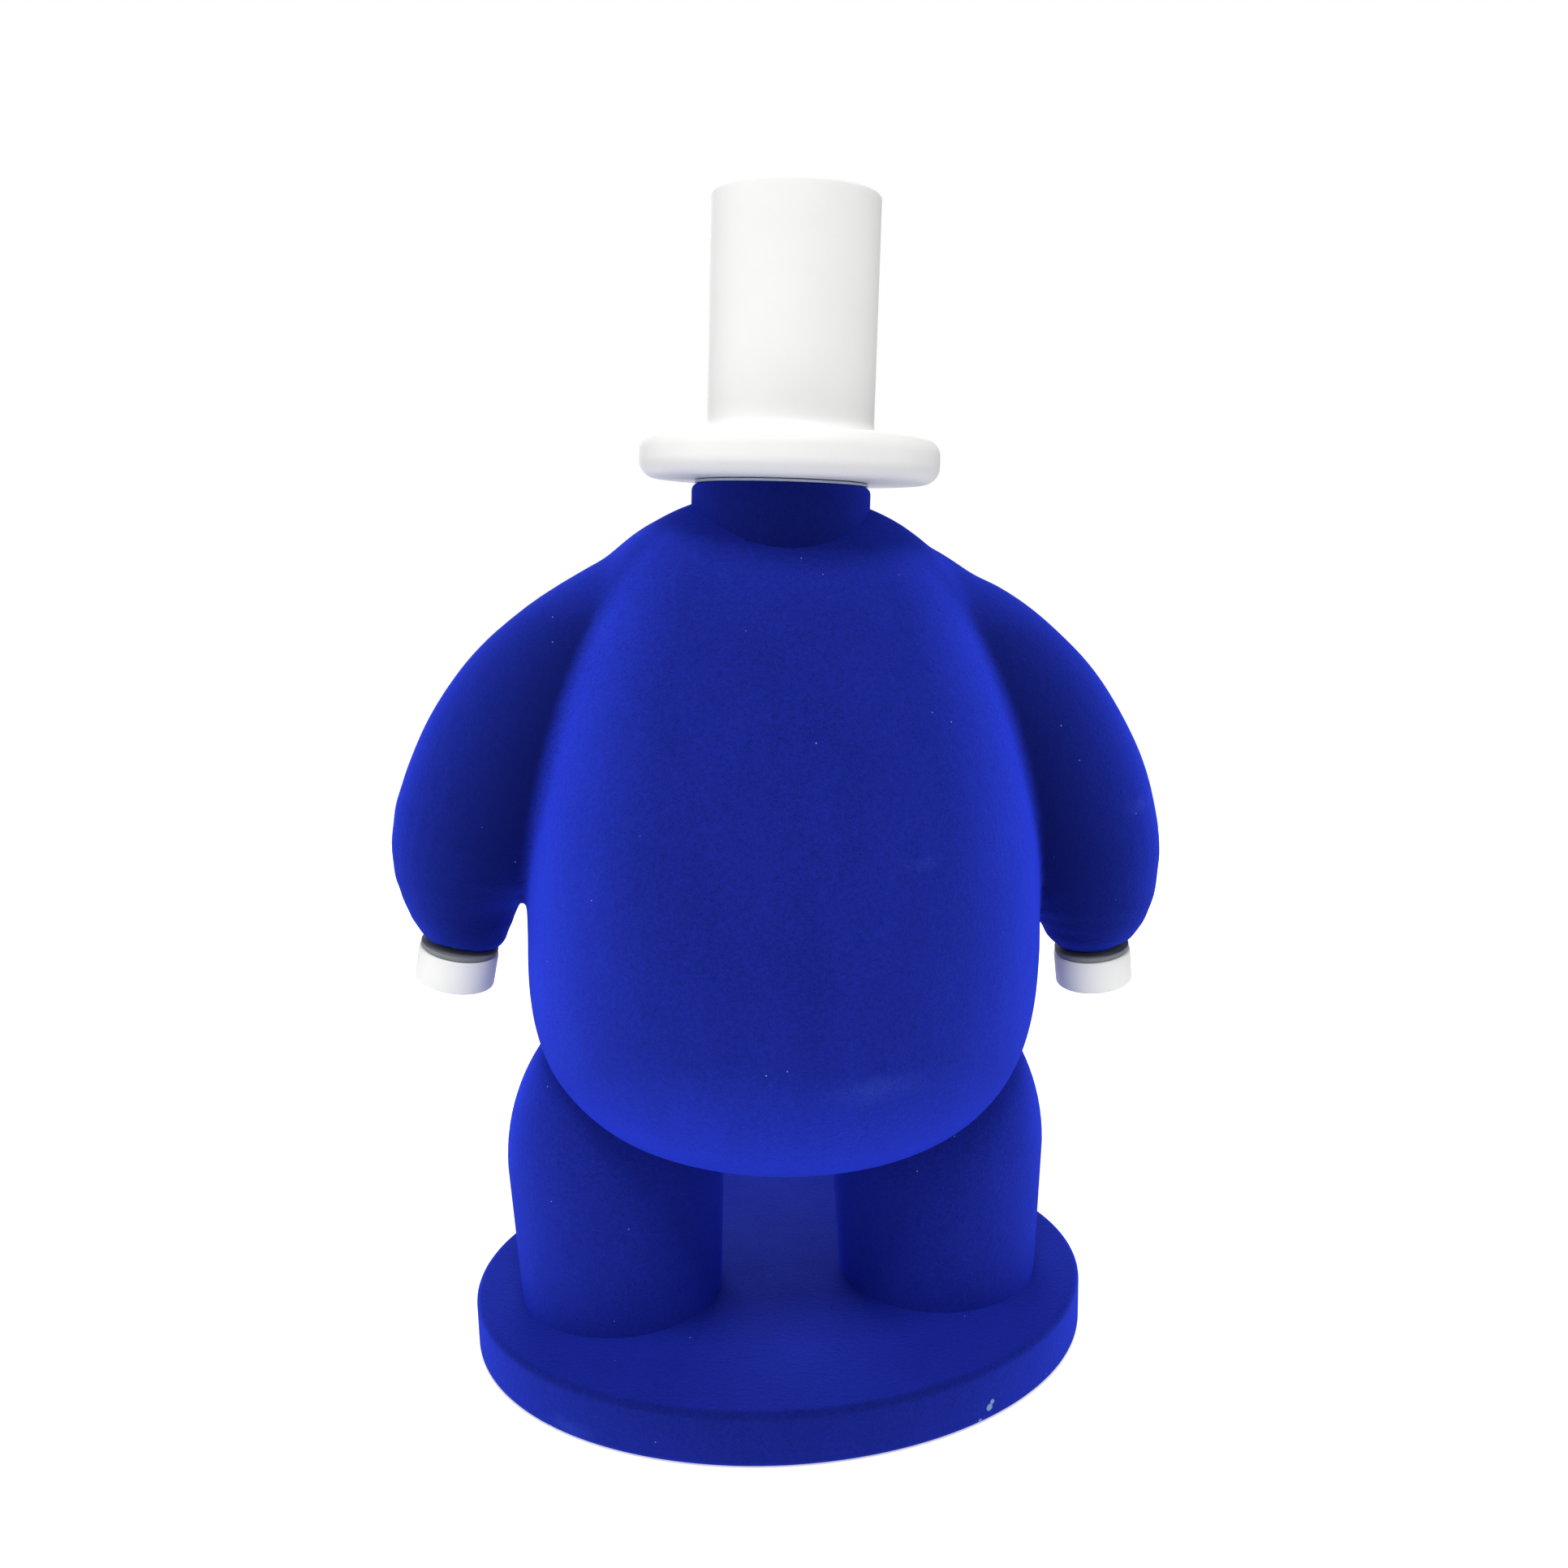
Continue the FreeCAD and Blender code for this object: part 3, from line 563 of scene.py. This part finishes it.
class FIGURE_OT_flocked_trunk(bpy.types.Operator):
    """Torso and arms under one coat of flock, with soft creases where they meet"""

    bl_idname = "figure.flocked_trunk"
    bl_label = "Flocked Trunk"
    bl_options = {"REGISTER", "UNDO"}

    # Roundness of the torso's outline: 2 is an ellipse, and more is squarer.
    CHEST_WIDTH, CHEST_DEPTH, BELLY = 2.45, 1.68, 2.8

    def execute(self, context):
        sizes = context.scene.figure_sizes
        torso_right = 0.0005
        torso = stacked("flocked_trunk", self.torso_rings(sizes), 96)
        settle(torso, in_figure(torso_right, -sizes.torso_forward))
        arms = [
            self.arm(side, line)
            for (_, side), line in zip(SIDES, (LEFT_ARM_LINE, RIGHT_ARM_LINE))
        ]
        pick(torso, *arms)
        bpy.ops.object.join()
        use(torso, "REMESH", mode="VOXEL", voxel_size=sizes.skin_cell)
        use(torso, "SMOOTH", factor=0.5, iterations=sizes.crease_softness)
        self.mark_shoulders(torso)
        self.paint_shade_and_highlight(torso, sizes)
        use(torso, "SMOOTH", factor=0.5, iterations=sizes.shoulder_softness,
            vertex_group="shoulders")
        pick(torso)
        bpy.ops.object.shade_smooth()
        finish_piece(
            torso, "figure", "blue_flock",
            flock_finish("trunk_flock_painted_light", shade_paint_attribute="arm", sheen_paint_attribute="painted_highlight", scuffs_and_highlights=(
                ((0.0185, -0.058, 0.0905), 0.013, 0.25, 1.0),
                ((0.0330, -0.056, 0.143), 0.007, 1.1, 1.0),
                ((0.0950, -0.015, 0.146), 0.008, -0.9, 1.0),
            )),
            "torso_front_block", "torso_rear_block", "left_arm", "right_arm")
        return {"FINISHED"}

    def torso_rings(self, sizes):
        """Ovals up the torso: a squarish belly below the waist and an egg above it."""
        rings = []
        steps = 22
        last = math.radians(86)
        for step in range(-steps, steps + 1):
            level = math.sin(last * abs(step) / steps)
            above = step > 0
            width_power = self.CHEST_WIDTH if above else self.BELLY
            depth_power = self.CHEST_DEPTH if above else self.BELLY
            reach = sizes.torso_rise if above else -sizes.torso_drop
            rings.append(Ring(
                sizes.waist_height + level * reach,
                sizes.torso_half_width * (1 - level ** width_power) ** (1 / width_power),
                sizes.torso_half_depth * (1 - level ** depth_power) ** (1 / depth_power),
                -level * sizes.torso_top_left if above else 0.0))
        return rings

    def mark_shoulders(self, trunk):
        """Vertex group that fades in from the elbows to the shoulders."""
        elbows, shoulders = 0.070, 0.105
        upright = in_figure().inverted()
        group = trunk.vertex_groups.new(name="shoulders")
        for vertex in trunk.data.vertices:
            weight = ramp((upright @ vertex.co).z, elbows, shoulders)
            if weight > 0:
                group.add([vertex.index], weight, "REPLACE")

    def paint_shade_and_highlight(self, trunk, sizes):
        """Attributes, 0 to 1, of painted light: the arm attribute darkens the arms, most near
        their creases with the torso as painted shade, and painted_highlight paints a highlight
        on the torso's flanks and round the bottom of the belly."""
        names = ("arm", "painted_highlight")
        for name in names:
            trunk.data.attributes.new(name, "FLOAT", "POINT")
        arm, painted_highlight = (trunk.data.attributes[name].data for name in names)
        upright = in_figure(back=-sizes.torso_forward).inverted()
        for vertex in trunk.data.vertices:
            place = upright @ vertex.co
            shade_share, highlight_share = self.shade_and_highlight_shares(place.x, place.z - sizes.waist_height, sizes)
            arm[vertex.index].value = shade_share
            painted_highlight[vertex.index].value = highlight_share

    def shade_and_highlight_shares(self, across, rise, sizes):
        """How much painted shade and painted highlight a point gets. Level is 0 at the waist and
        1 at either end of the torso, and out is 1 at the crease where an arm leaves the torso."""
        highest = 0.97
        crease_taper = 0.18
        above = rise > 0
        reach = sizes.torso_rise if above else sizes.torso_drop
        level = min(abs(rise) / reach, highest)
        if above:
            power = self.CHEST_WIDTH
            side = sizes.torso_half_width * (1 - level ** power) ** (1 / power)
            crease = side * (1 - crease_taper * level)
            out = abs(across + level * sizes.torso_top_left) / crease
            fade = ramp(level, 0.96, 0.71)
            low = 0.0
        else:
            out = abs(across) / sizes.torso_half_width
            fade = 1.0
            # Painted highlight round the bottom of the belly.
            low = ramp(level, 0.30, 0.75)
        # Darker across the arms, and as painted shade darkest near the crease with the torso.
        arm = ramp(out, 0.96, 1.04) * fade
        crease_shade = ramp(out, 1.45, 1.05) * min(1.25 - level, 1)
        # Painted highlight on the torso's flanks.
        painted_highlight = ramp(out, 0.55, 0.93) ** 1.5 * fade
        return arm * (0.40 + 0.60 * crease_shade), max(painted_highlight, low) * (1 - arm)

    def arm(self, side, line):
        """Round arm of changing thickness along its middle line."""
        curve = bpy.data.curves.new("arm_line", "CURVE")
        curve.dimensions = "3D"
        curve.bevel_depth = 1.0
        curve.bevel_resolution = 12
        curve.use_fill_caps = True
        curve.resolution_u = 12
        spline = curve.splines.new("BEZIER")
        spline.radius_interpolation = "CARDINAL"
        spline.bezier_points.add(len(line) - 1)
        back = bpy.context.scene.figure_sizes.arm_back
        for point, (across, height, radius) in zip(spline.bezier_points, line):
            point.co = (side * across * MM, back, height * MM)
            point.radius = radius * MM
            point.handle_left_type = point.handle_right_type = "AUTO"
        arm = bpy.data.objects.new("arm", curve)
        bpy.context.collection.objects.link(arm)
        pick(arm)
        bpy.ops.object.convert(target="MESH")
        settle(arm, in_figure())
        bpy.ops.object.mode_set(mode="EDIT")
        bpy.ops.mesh.select_all(action="SELECT")
        bpy.ops.mesh.remove_doubles(threshold=0.00002)
        bpy.ops.mesh.normals_make_consistent(inside=False)
        bpy.ops.object.mode_set(mode="OBJECT")
        return arm


class FIGURE_OT_flocked_neck(bpy.types.Operator):
    """Short round neck with a rounded rim, open in the middle for the peg's bush"""

    bl_idname = "figure.flocked_neck"
    bl_label = "Flocked Neck"
    bl_options = {"REGISTER", "UNDO"}

    def execute(self, context):
        sizes = context.scene.figure_sizes
        root, top = 0.128, 0.0317  # in the torso above the hips, and above the root
        bush_radius, bush_left, bush_depth = 0.0081, 0.0019, 0.028
        flat = 0.0004
        edge = sizes.neck_radius - sizes.neck_round
        rings = [Ring(0, sizes.neck_radius)]
        rings += [Ring(top * share, sizes.neck_radius) for share in (0.3, 0.6, 0.8)]
        rings += arc_rings(edge, top - sizes.neck_round, sizes.neck_round, 0, 90)
        rings += [
            Ring(top, edge - flat),
            Ring(top, bush_radius + flat, across=bush_left),
            Ring(top, bush_radius, across=bush_left),
            Ring(top - bush_depth, bush_radius, across=bush_left),
        ]
        neck = stacked("flocked_neck", rings)
        settle(neck, in_figure(*NECK_AXIS, root))
        smooth_faces(neck)
        # The neck's flock at 0.55 of its colour is painted shade, the shadow under the brim.
        finish_piece(neck, "figure", "blue_flock", flock_finish("neck_flock_painted_shade", 0.55), "neck")
        return {"FINISHED"}


class FIGURE_OT_flocked_legs(bpy.types.Operator):
    """Two stout legs that swell to the calf and dome over into the belly"""

    bl_idname = "figure.flocked_legs"
    bl_label = "Flocked Legs"
    bl_options = {"REGISTER", "UNDO"}

    def execute(self, context):
        board_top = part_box("base_board")[1].z
        for name, side in SIDES:
            leg = stacked(f"flocked_{name}_leg", self.leg_rings())
            settle(leg, Matrix.Translation((side * LEG_ACROSS, LEG_BACK, board_top)))
            smooth_faces(leg)
            finish_piece(
                leg, "figure", "blue_flock", flock_finish(f"{name}_leg_flock"),
                f"{name}_leg")
        return {"FINISHED"}

    def leg_rings(self):
        foot, calf, crown = 0.0272, 0.0290, 0.0160
        calf_height, crown_height, dome = 0.038, 0.074, 0.0557
        rings = [Ring(0, foot)]
        rings += [
            Ring(calf_height * share, foot + (calf - foot) * share)
            for share in (0.05, 0.3, 0.6, 0.85)
        ]
        start = Vector((calf, calf_height))
        end = Vector((crown, crown_height))
        middle = (start + end) / 2
        along = end - start
        inwards = Vector((-along.y, along.x)).normalized()
        centre = middle + inwards * math.sqrt(dome ** 2 - (along.length / 2) ** 2)
        first, last = (
            math.degrees(math.atan2(point.y - centre.y, point.x - centre.x))
            for point in (start, end)
        )
        rings += arc_rings(centre.x, centre.y, dome, first, last, 14)
        return rings


class FIGURE_OT_flocked_board(bpy.types.Operator):
    """Oval board, flocked on top and round its edge, with bare wood and screws below"""

    bl_idname = "figure.flocked_board"
    bl_label = "Flocked Board"
    bl_options = {"REGISTER", "UNDO"}

    # Screws: half the space between the two in a leg, and the sizes of their holes.
    SCREW_REACH = 0.013
    HEAD_RADIUS, HEAD_DEPTH = 0.0054, 0.0032
    SHANK_RADIUS, SHANK_DEPTH = 0.0022, 0.012

    def execute(self, context):
        low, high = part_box("base_board")
        wide, deep = high.x, high.y
        rim, flat = 0.0018, 0.001
        rings = [Ring(0, wide - rim - flat, deep - rim - flat)]
        rings += arc_rings(wide - rim, rim, rim, -90, 0, 6, deep=deep - rim)
        rings += arc_rings(wide - rim, high.z - rim, rim, 0, 90, 6, deep=deep - rim)
        rings += [Ring(high.z, wide - rim - flat, deep - rim - flat)]
        board = stacked("flocked_board", rings, 192)
        use(board, "BOOLEAN", object=self.countersinks(), solver="EXACT")
        bpy.data.objects.remove(bpy.data.objects["countersinks"])
        smooth_faces(board)
        finish_piece(
            board, "figure", "blue_flock",
            flock_finish("board_flock_painted_light", 0.66, chips=(
                ((0.0466, -0.0568, 0.0038), 0.0010),
                ((0.0474, -0.0564, 0.0050), 0.0007),
                ((0.0440, -0.0583, 0.0012), 0.0006),
                ((-0.0620, -0.0455, 0.0006), 0.0006),
            ), scuffs_and_highlights=(
                ((-0.056, -0.049, 0.003), 0.009, 0.0, 1.0),
                # Painted highlight: the board's top made paler between and behind the legs,
                # where light falls from behind.
                ((0.000, 0.014, 0.012), 0.040, 0.0, 2.0),
            )),
            "base_board")
        board.data.materials.append(wood_finish("board_beech", "X"))
        bore = self.HEAD_RADIUS + 0.2 * MM
        for face in board.data.polygons:
            below = face.center.z < 0.1 * MM and face.normal.z < -0.9
            in_bore = any(
                (face.center - place).xy.length < bore for place in self.screw_places())
            if (below or in_bore) and face.center.z < high.z - MM:
                face.material_index = 1
        return {"FINISHED"}

    def screw_places(self):
        return [
            Vector((side * LEG_ACROSS, LEG_BACK + end * self.SCREW_REACH, 0))
            for _, side in SIDES
            for end in (-1, 1)
        ]

    def countersinks(self):
        """Four cones on thin shanks, joined, for cutting the board from below."""
        cutters = []
        for place in self.screw_places():
            cutter = stacked("countersinks", [
                Ring(-MM, self.HEAD_RADIUS + MM),
                Ring(0, self.HEAD_RADIUS),
                Ring(self.HEAD_DEPTH, self.SHANK_RADIUS),
                Ring(self.SHANK_DEPTH, self.SHANK_RADIUS),
            ], 32)
            settle(cutter, Matrix.Translation(place))
            cutters.append(cutter)
        pick(*cutters)
        bpy.ops.object.join()
        cutters[0].name = "countersinks"
        return cutters[0]


class FIGURE_OT_painted_hat(bpy.types.Operator):
    """Tall white hat, turned from one block, with a blind bore for the peg"""

    bl_idname = "figure.painted_hat"
    bl_label = "Painted Hat"
    bl_options = {"REGISTER", "UNDO"}

    def execute(self, context):
        sizes = context.scene.figure_sizes
        brim, crown = sizes.brim_radius, sizes.crown_radius
        thick, tall, rim = sizes.brim_thickness, sizes.hat_height, sizes.brim_round
        foot, top = 0.0034, 0.0009
        bore, bore_depth = 0.0060, 0.031
        flat = 0.0004
        rings = [Ring(bore_depth, bore), Ring(flat, bore), Ring(0, bore + flat)]
        rings += [Ring(0, brim - rim - flat)]
        rings += arc_rings(brim - rim, rim, rim, -90, 0, 9)
        rings += arc_rings(brim - rim, thick - rim, rim, 0, 90, 9)
        rings += [Ring(thick, brim - rim - flat), Ring(thick, crown + foot + flat)]
        rings += arc_rings(crown + foot, thick + foot, foot, -90, -180, 9)
        rings += [
            Ring(thick + foot + (tall - thick - foot - top) * share, crown)
            for share in (0.02, 0.34, 0.66, 0.98)
        ]
        rings += arc_rings(crown - top, tall - top, top, 0, 90, 7)
        rings += [Ring(tall, crown - top - flat)]
        hat = stacked("painted_hat", rings, 160)
        settle(hat, on_joint("hat_turn"))
        smooth_faces(hat)
        finish_piece(hat, "top_hat", "white_paint", paint_finish("hat_paint"), "hat")
        return {"FINISHED"}


class FIGURE_OT_painted_hands(bpy.types.Operator):
    """White stubs that stand for the hands, each bored for its wrist pin"""

    bl_idname = "figure.painted_hands"
    bl_label = "Painted Hands"
    bl_options = {"REGISTER", "UNDO"}

    def execute(self, context):
        sizes = context.scene.figure_sizes
        radius, length = sizes.hand_radius, sizes.hand_length
        edge, flat = 0.0007, 0.0003
        pin, pin_depth = 0.0030, 0.006
        for name, _ in SIDES:
            rings = [Ring(0, radius - edge - flat)]
            rings += arc_rings(radius - edge, edge, edge, -90, 0, 5)
            rings += arc_rings(radius - edge, length - edge, edge, 0, 90, 5)
            rings += [
                Ring(length, radius - edge - flat), Ring(length, pin + flat),
                Ring(length, pin), Ring(length - pin_depth, pin),
            ]
            hand = stacked(f"painted_{name}_hand", rings, 96)
            settle(hand, on_joint(f"{name}_hand_turn"))
            smooth_faces(hand)
            finish_piece(
                hand, f"{name}_hand", "white_paint", paint_finish(f"{name}_hand_paint"),
                f"{name}_hand_stub")
        return {"FINISHED"}


class FIGURE_OT_spacer_rings(bpy.types.Operator):
    """Grey washers at the wrists and the pale ring between the neck and the brim"""

    bl_idname = "figure.spacer_rings"
    bl_label = "Washers and Neck Ring"
    bl_options = {"REGISTER", "UNDO"}

    def execute(self, context):
        sizes = context.scene.figure_sizes
        washer_bore, washer_thickness, gap = 0.0033, 0.0012, 0.00025
        fibre_grey = (0.185, 0.200, 0.205)
        ring_radius, ring_bore, ring_thickness, ring_height = 0.0219, 0.0080, 0.0006, 0.1597
        pale_blue_grey = (0.36, 0.43, 0.55)
        lift = sizes.hand_length + gap
        for name, _ in SIDES:
            washer = self.ring(
                f"{name}_grey_washer", sizes.washer_radius, washer_bore, washer_thickness)
            settle(washer, on_joint(f"{name}_hand_turn") @ Matrix.Translation((0, 0, lift)))
            smooth_faces(washer)
            finish_piece(
                washer, "figure", "washer_grey",
                moulded_finish(f"{name}_washer_fibre", fibre_grey, 0.70),
                f"{name}_wrist_washer")
        ring = self.ring("pale_neck_ring", ring_radius, ring_bore, ring_thickness)
        settle(ring, in_figure(*NECK_AXIS, ring_height))
        smooth_faces(ring)
        finish_piece(
            ring, "figure", "ring_grey",
            moulded_finish("neck_ring_plastic", pale_blue_grey, 0.5), "neck_ring")
        return {"FINISHED"}

    def ring(self, name, radius, bore, thickness):
        """Flat ring: two circles bridged, raised, and its rims eased."""
        clear_selection()
        bpy.ops.mesh.primitive_circle_add(
            vertices=96, radius=radius, fill_type="NOTHING", enter_editmode=True)
        bpy.ops.mesh.primitive_circle_add(vertices=96, radius=bore, fill_type="NOTHING")
        bpy.ops.mesh.select_all(action="SELECT")
        bpy.ops.mesh.bridge_edge_loops()
        bpy.ops.mesh.select_all(action="SELECT")
        bpy.ops.mesh.extrude_region_move(
            TRANSFORM_OT_translate={"value": (0, 0, thickness)})
        bpy.ops.mesh.select_all(action="SELECT")
        bpy.ops.mesh.normals_make_consistent(inside=False)
        bpy.ops.object.mode_set(mode="OBJECT")
        piece = bpy.context.object
        piece.name = piece.data.name = name
        use(piece, "BEVEL", width=0.15 * thickness, segments=3, limit_method="ANGLE")
        return piece


class FIGURE_OT_inner_finishes(bpy.types.Operator):
    """Finishes of the pieces inside: dowels, peg, pins, bushes and screws"""

    bl_idname = "figure.inner_finishes"
    bl_label = "Inner Finishes"
    bl_options = {"REGISTER", "UNDO"}

    def execute(self, context):
        beech_up = wood_finish("peg_beech", "Z")
        nylon = moulded_finish("bush_nylon", (0.70, 0.68, 0.60), 0.42, 0.0005, 0.05)
        zinc = zinc_finish("zinc_steel")
        finishes = {
            "hat_peg": beech_up,
            "leg_dowels": beech_up,
            "arm_dowels": wood_finish("arm_dowel_beech", "X"),
            "torso_dowels": wood_finish("torso_dowel_beech", "Y"),
            "left_wrist_pin": beech_up,
            "right_wrist_pin": beech_up,
            "neck_bush": nylon,
            "left_wrist_bush": nylon,
            "right_wrist_bush": nylon,
            "base_screws": zinc,
        }
        for name, material in finishes.items():
            slots = frame["nodes"][name].material_slots
            if not slots:
                raise RuntimeError(f"{name} has no material slot")
            for place in slots:
                place.material = material
        return {"FINISHED"}


class FIGURE_OT_stage(bpy.types.Operator):
    """Pale floor, even white light and the camera"""

    bl_idname = "figure.stage"
    bl_label = "Stage"
    bl_options = {"REGISTER", "UNDO"}

    def execute(self, context):
        settings = context.scene.stage_settings
        self.floor()
        self.sky(settings.sky_strength)
        self.softbox("key", (-0.03, -0.56, 1.25), 0.40, settings.key_power)
        self.softbox("left", (-0.95, -0.10, 0.45), 0.70, settings.left_power)
        self.softbox("right", (0.95, 0.0, 0.45), 0.70, settings.right_power)
        self.softbox("rear", (0.0, 1.00, 0.42), 0.70, settings.rear_power)
        self.camera(settings)
        context.scene.view_settings.view_transform = "Standard"
        return {"FINISHED"}

    def floor(self):
        clear_selection()
        bpy.ops.mesh.primitive_circle_add(vertices=96, radius=0.62, fill_type="NGON")
        floor = bpy.context.object
        floor.name = "floor"
        grey_paper = (0.80, 0.80, 0.80, 1)
        pale_paper = (0.82, 0.82, 0.82, 1)
        finish = Finish("floor_paper")
        clouds = finish.noise(0.4, 2, 0.5)
        finish.set(
            Base_Color=finish.blend(
                finish.spread(clouds, 0.3, 0.7), grey_paper, pale_paper),
            Roughness=0.9, Emission_Color=(1, 1, 1, 1), Emission_Strength=0.50)
        floor.data.materials.append(finish.material)

    def sky(self, strength):
        """Even light on the figure, seen as plain white behind it."""
        world = bpy.data.worlds.new("sky")
        world.use_nodes = True
        tree = world.node_tree
        background = tree.nodes["Background"]
        background.inputs["Color"].default_value = (1, 1, 1, 1)
        ray = tree.nodes.new("ShaderNodeLightPath")
        level = tree.nodes.new("ShaderNodeMapRange")
        level.inputs["To Min"].default_value = strength
        level.inputs["To Max"].default_value = 1.0
        tree.links.new(ray.outputs["Is Camera Ray"], level.inputs["Value"])
        tree.links.new(level.outputs["Result"], background.inputs["Strength"])
        bpy.context.scene.world = world

    def softbox(self, name, place, size, power):
        clear_selection()
        bpy.ops.object.light_add(type="AREA", location=place)
        lamp = bpy.context.object
        lamp.name = name
        lamp.data.shape = "SQUARE"
        lamp.data.size = size
        lamp.data.energy = power
        belly = Vector((0, 0, 0.13))
        aim = belly - Vector(place)
        lamp.rotation_euler = aim.to_track_quat("-Z", "Y").to_euler()

    def camera(self, settings):
        clear_selection()
        bpy.ops.object.camera_add()
        camera = bpy.context.object
        camera.matrix_world = (
            Matrix.Translation(settings.camera_place)
            @ Matrix.Rotation(-settings.camera_turn, 4, "Z")
            @ Matrix.Rotation(math.radians(90) - settings.camera_dip, 4, "X")
            @ Matrix.Rotation(settings.camera_roll, 4, "Z")
        )
        camera.data.sensor_width = 36
        camera.data.lens = settings.lens
        camera.data.clip_start = 0.01
        bpy.context.scene.camera = camera


PIECES = (
    FIGURE_OT_flocked_trunk,
    FIGURE_OT_flocked_neck,
    FIGURE_OT_flocked_legs,
    FIGURE_OT_flocked_board,
    FIGURE_OT_painted_hat,
    FIGURE_OT_painted_hands,
    FIGURE_OT_spacer_rings,
    FIGURE_OT_inner_finishes,
    FIGURE_OT_stage,
)

SETTINGS = (
    ("figure_sizes", FigureSizes),
    ("flock_finish", FlockFinish),
    ("paint_finish", PaintFinish),
    ("stage_settings", StageSettings),
)


class FIGURE_PT_sidebar(bpy.types.Panel):
    """Lists the settings and the pieces in the order in which they are made"""

    bl_idname = "FIGURE_PT_sidebar"
    bl_label = "Flocked Figure"
    bl_space_type = "VIEW_3D"
    bl_region_type = "UI"
    bl_category = "Flocked Figure"

    def draw(self, context):
        for name, group in SETTINGS:
            box = self.layout.box()
            box.label(text=group.__doc__)
            for setting in group.__annotations__:
                box.prop(getattr(context.scene, name), setting)
        for piece in PIECES:
            self.layout.operator(piece.bl_idname)


def register():
    for name, group in SETTINGS:
        bpy.utils.register_class(group)
        setattr(bpy.types.Scene, name, PointerProperty(type=group))
    for piece in PIECES:
        bpy.utils.register_class(piece)
    bpy.utils.register_class(FIGURE_PT_sidebar)


def unregister():
    bpy.utils.unregister_class(FIGURE_PT_sidebar)
    for piece in reversed(PIECES):
        bpy.utils.unregister_class(piece)
    for name, group in reversed(SETTINGS):
        delattr(bpy.types.Scene, name)
        bpy.utils.unregister_class(group)


def main():
    register()
    for piece in PIECES:
        space, name = piece.bl_idname.split(".")
        getattr(getattr(bpy.ops, space), name)()


if __name__ == "__main__":
    main()
